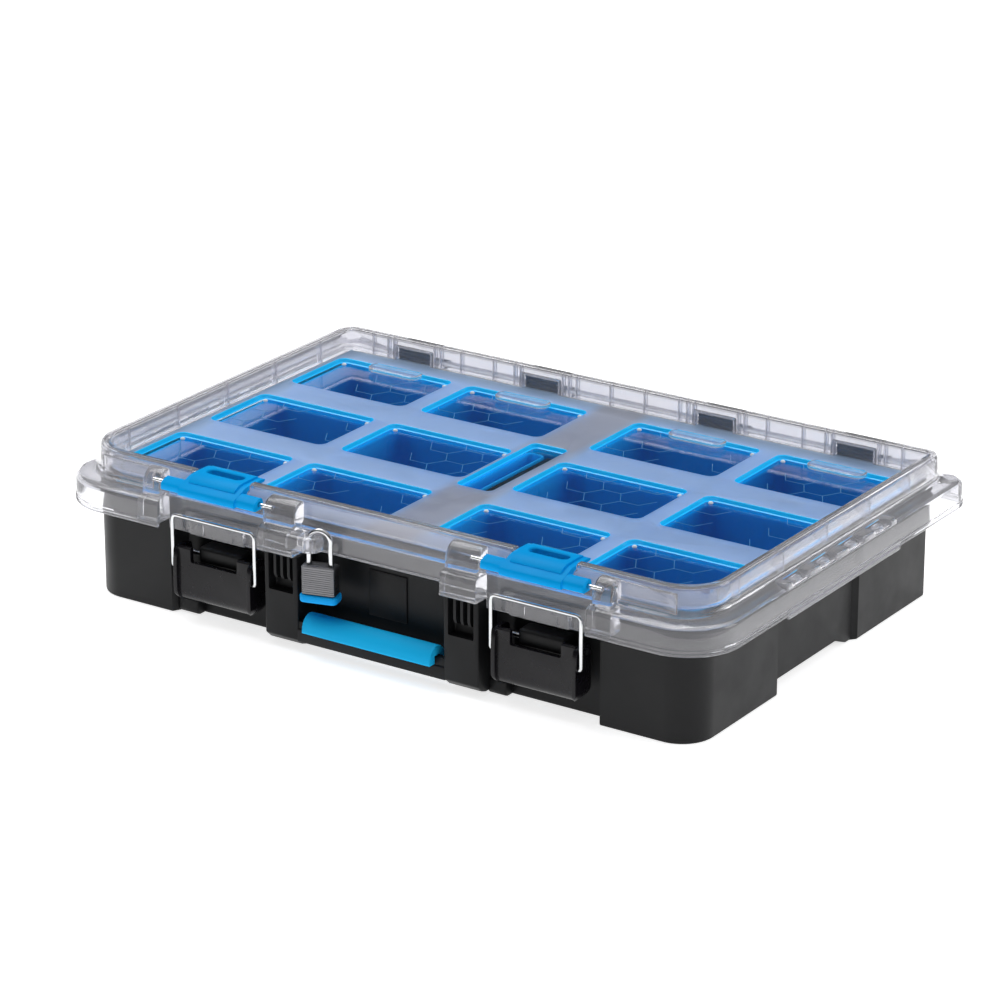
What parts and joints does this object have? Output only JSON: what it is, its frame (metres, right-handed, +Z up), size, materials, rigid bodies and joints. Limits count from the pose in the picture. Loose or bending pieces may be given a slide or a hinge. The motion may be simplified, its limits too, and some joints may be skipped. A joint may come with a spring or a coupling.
{
  "type": "parts organizer",
  "caption": "Flat stackable parts case with a clear hinged lid, lift-out blue bins, wire draw latches, flip-up stacking latches and a small padlock.",
  "frame": {"origin": "on the floor, in the middle of the whole object's box", "axes": "+X along the long side to the right, +Y from the latches to the hinges, +Z up"},
  "size_m": [0.55, 0.3709, 0.112],
  "materials": {
    "black_plastic": "matte moulded polypropylene with a fine grain",
    "lever_plastic": "satin moulded black plastic",
    "clear_plastic": "clear glossy plastic with frosted bands",
    "bin_blue": "satin translucent blue plastic",
    "latch_blue": "satin bright blue plastic",
    "grip_rubber": "soft blue grip with a fine lengthwise grain",
    "bumper_blue": "satin blue plastic bumper",
    "bright_steel": "bright plated steel",
    "laminated_steel": "brushed stacked steel plates",
    "brass": "turned brass"
  },
  "bodies": {
    "base": {"base_tub": "black_plastic", "handle_grip": "grip_rubber", "bin_row1_col1": "bin_blue", "bin_row1_col2": "bin_blue", "bin_row1_col3": "bin_blue", "bin_row1_col4": "bin_blue", "bin_row2_col1": "bin_blue", "bin_row2_col2": "bin_blue", "bin_row2_col3": "bin_blue", "bin_row2_col4": "bin_blue", "bin_row3_col1": "bin_blue", "bin_row3_col2": "bin_blue", "bin_row3_col3": "bin_blue", "bin_row3_col4": "bin_blue", "centre_tray": "bin_blue", "hinge_pin_1": "bright_steel", "hinge_pin_2": "bright_steel", "hinge_pin_3": "bright_steel", "hinge_pin_4": "bright_steel", "latch_pin_left": "bright_steel", "latch_pin_right": "bright_steel"},
    "lid": {"lid_shell": "clear_plastic", "hinge_leaf_1": "black_plastic", "hinge_leaf_2": "black_plastic", "hinge_leaf_3": "black_plastic", "hinge_leaf_4": "black_plastic", "stack_pin_left": "bright_steel", "stack_pin_right": "bright_steel"},
    "lever_left": {"latch_lever_left": "lever_plastic"},
    "bail_left": {"wire_bail_left": "bright_steel"},
    "stack_left": {"stack_latch_left": "latch_blue"},
    "lever_right": {"latch_lever_right": "lever_plastic"},
    "bail_right": {"wire_bail_right": "bright_steel"},
    "stack_right": {"stack_latch_right": "latch_blue"},
    "padlock_shackle": {"padlock_shackle": "bright_steel"},
    "padlock_body": {"padlock_body": "laminated_steel", "padlock_bumper": "bumper_blue"},
    "padlock_plug": {"padlock_key_plug": "brass"}
  },
  "joints": [
    {"name": "lid_hinge", "type": "hinge", "parent": "base", "child": "lid", "pos_m": [0, 0.1795, 0.084], "axis": [-1, 0, 0], "range_deg": [0, 105]},
    {"name": "lever_left_turn", "type": "hinge", "parent": "base", "child": "lever_left", "pos_m": [-0.1355, -0.1635, 0.05], "axis": [-1, 0, 0], "range_deg": [0, 100]},
    {"name": "bail_left_swing", "type": "hinge", "parent": "lever_left", "child": "bail_left", "pos_m": [-0.1355, -0.1745, 0.041], "axis": [-1, 0, 0], "range_deg": [-130, 0]},
    {"name": "stack_left_flip", "type": "hinge", "parent": "lid", "child": "stack_left", "pos_m": [-0.1355, -0.174, 0.103], "axis": [1, 0, 0], "range_deg": [0, 100]},
    {"name": "lever_right_turn", "type": "hinge", "parent": "base", "child": "lever_right", "pos_m": [0.1355, -0.1635, 0.05], "axis": [-1, 0, 0], "range_deg": [0, 100]},
    {"name": "bail_right_swing", "type": "hinge", "parent": "lever_right", "child": "bail_right", "pos_m": [0.1355, -0.1745, 0.041], "axis": [-1, 0, 0], "range_deg": [-130, 0]},
    {"name": "stack_right_flip", "type": "hinge", "parent": "lid", "child": "stack_right", "pos_m": [0.1355, -0.174, 0.103], "axis": [1, 0, 0], "range_deg": [0, 100]},
    {"name": "padlock_swivel", "type": "hinge", "parent": "lid", "child": "padlock_shackle", "pos_m": [-0.05, -0.177, 0.087], "axis": [0, 0, 1], "range_deg": [-75, 5]},
    {"name": "padlock_release", "type": "slide", "parent": "padlock_shackle", "child": "padlock_body", "axis": [0, 0, -1], "range_m": [0, 0.007]},
    {"name": "key_plug_turn", "type": "hinge", "parent": "padlock_body", "child": "padlock_plug", "pos_m": [-0.04227, -0.17493, 0.043], "axis": [0, 0, 1], "range_deg": [0, 90]}
  ],
  "couplings": [
    {"joint": "bail_left_swing", "follows": "lever_left_turn", "ratio": -1.3},
    {"joint": "bail_right_swing", "follows": "lever_right_turn", "ratio": -1.3}
  ]
}
